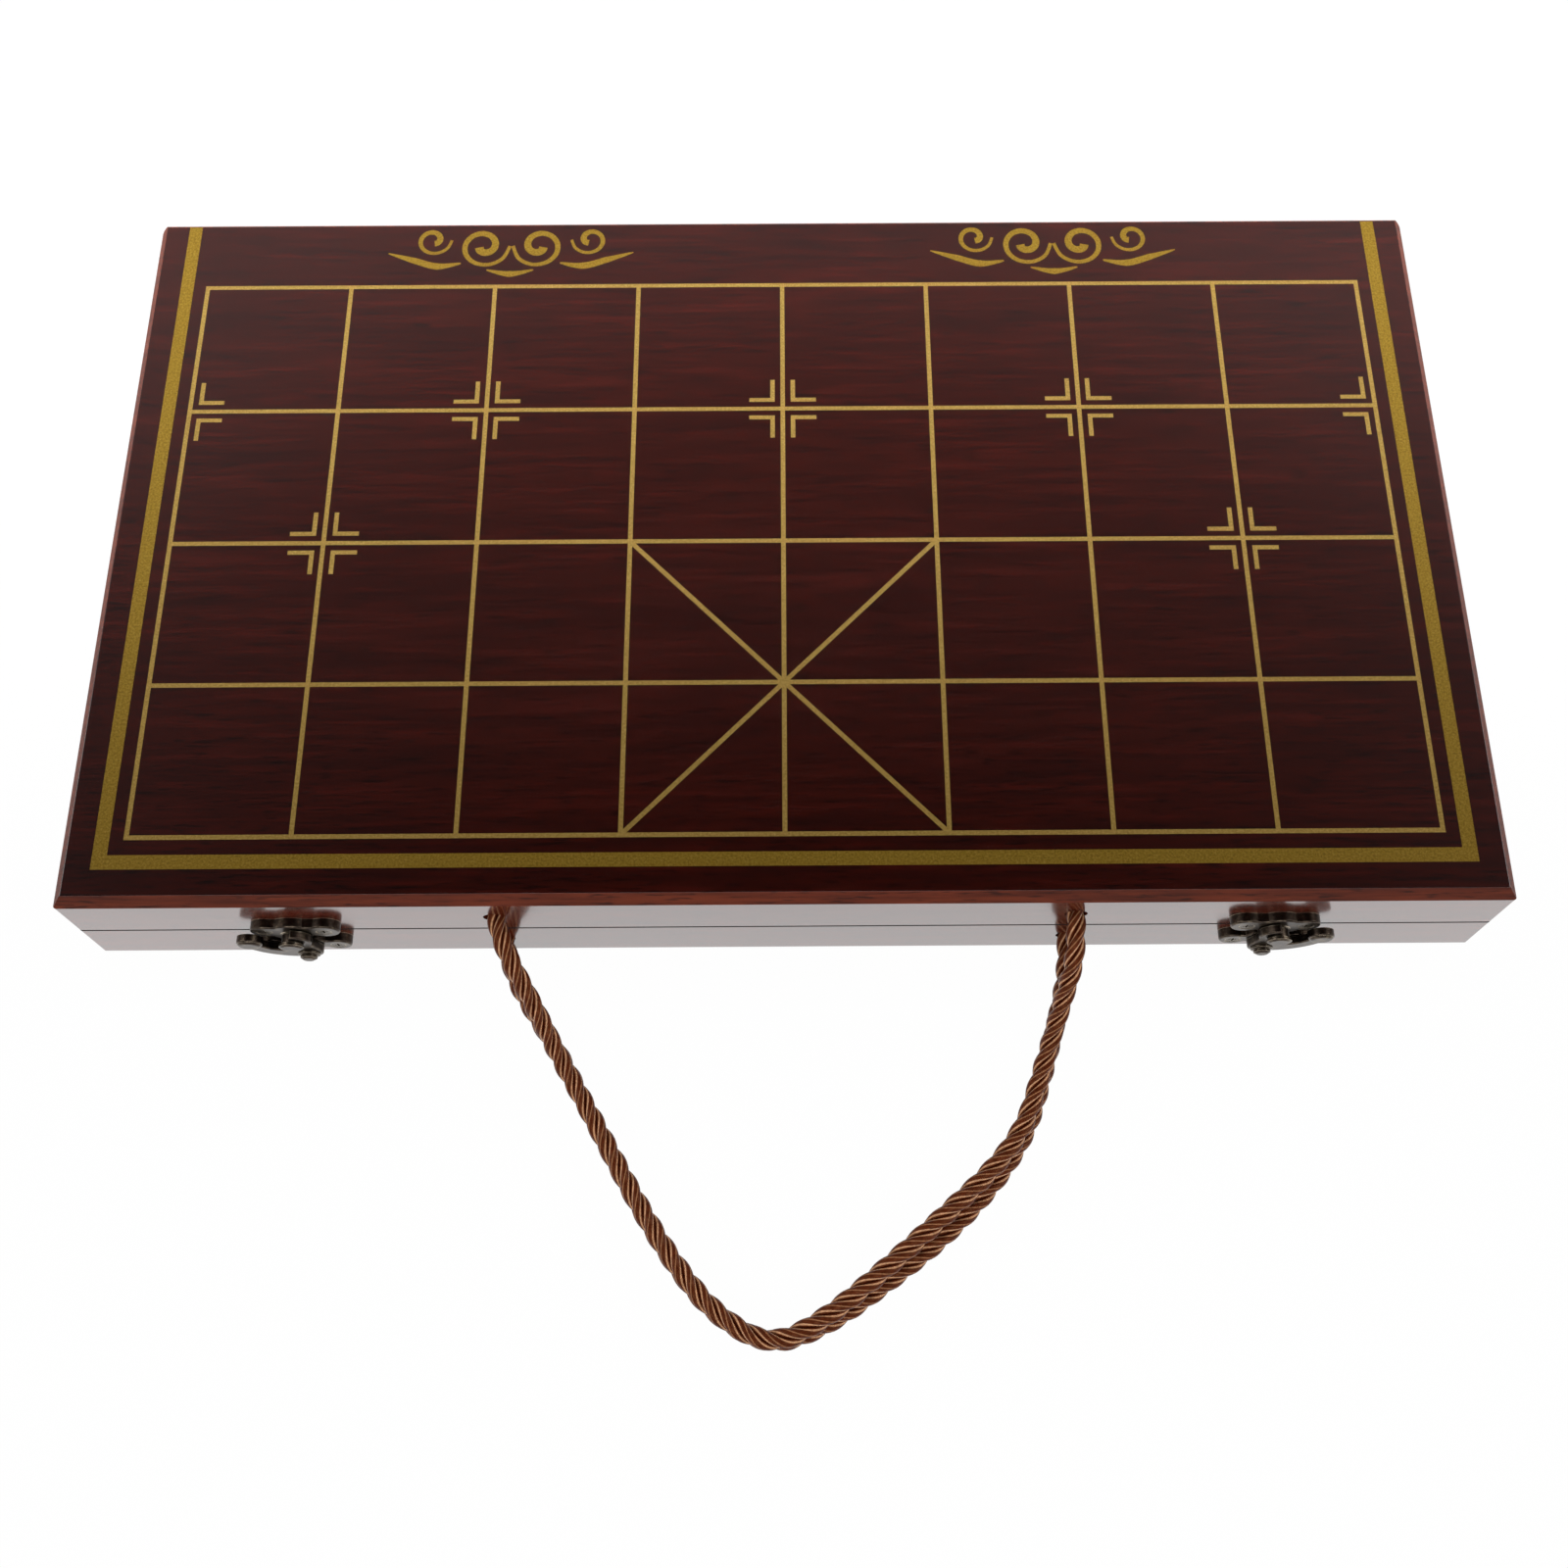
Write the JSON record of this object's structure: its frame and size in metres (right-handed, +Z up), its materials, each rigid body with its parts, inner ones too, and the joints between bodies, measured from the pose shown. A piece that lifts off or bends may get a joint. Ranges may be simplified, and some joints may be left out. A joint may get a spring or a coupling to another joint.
{
  "type": "folding xiangqi board case",
  "caption": "Folding Chinese chess board that shuts into a shallow wooden case, with swing latches, twisted rope handles and foam compartments of discs.",
  "frame": {"origin": "centre of the case's underside, closed, without latches and ropes", "axes": "+X to the right along the width, +Y from the latches to the fold, +Z up through the lid"},
  "size_m": [0.43, 0.3632, 0.054],
  "materials": {
    "case_wood": "dark red-brown wood grain laminate, semi-gloss lacquer",
    "latch_bronze": "antique bronze, dark with worn bright edges",
    "hinge_brass": "dull brass",
    "rope_satin": "twisted copper-brown satin cord",
    "tray_foam": "flocked foam",
    "lining_felt": "felt",
    "disc_wood": "lacquered hardwood"
  },
  "bodies": {
    "base": {"base_panel": "case_wood", "base_front_rail": "case_wood", "base_back_rail": "case_wood", "base_left_rail": "case_wood", "base_right_rail": "case_wood", "base_hinge_leaves": "hinge_brass", "hinge_pins": "hinge_brass", "base_hinge_screws": "hinge_brass", "latch_base_plate_left": "latch_bronze", "latch_base_plate_right": "latch_bronze", "latch_rivet_left": "latch_bronze", "latch_rivet_right": "latch_bronze", "latch_base_screws": "latch_bronze", "foam_long_dividers": "tray_foam", "foam_short_dividers": "tray_foam", "red_discs": "disc_wood", "black_discs": "disc_wood", "base_rope": "rope_satin", "base_rope_knots": "rope_satin"},
    "lid": {"lid_panel": "case_wood", "lid_front_rail": "case_wood", "lid_back_rail": "case_wood", "lid_left_rail": "case_wood", "lid_right_rail": "case_wood", "lid_hinge_leaves": "hinge_brass", "lid_hinge_screws": "hinge_brass", "latch_catch_plate_left": "latch_bronze", "latch_catch_plate_right": "latch_bronze", "latch_catch_post_left": "latch_bronze", "latch_catch_post_right": "latch_bronze", "latch_catch_screws": "latch_bronze", "lid_lining": "lining_felt", "lid_rope": "rope_satin", "lid_rope_knots": "rope_satin"},
    "lever_left": {"latch_lever_left": "latch_bronze"},
    "lever_right": {"latch_lever_right": "latch_bronze"}
  },
  "joints": [
    {"name": "lid_hinge", "type": "hinge", "parent": "base", "child": "lid", "pos_m": [0, 0.12095, 0.027], "axis": [-1, 0, 0], "range_deg": [0, 180]},
    {"name": "lever_left_pivot", "type": "hinge", "parent": "base", "child": "lever_left", "pos_m": [-0.1456, -0.1253, 0.0209], "axis": [0, 1, 0], "range_deg": [0, 24]},
    {"name": "lever_right_pivot", "type": "hinge", "parent": "base", "child": "lever_right", "pos_m": [0.1456, -0.1253, 0.0209], "axis": [0, -1, 0], "range_deg": [0, 24]}
  ]
}
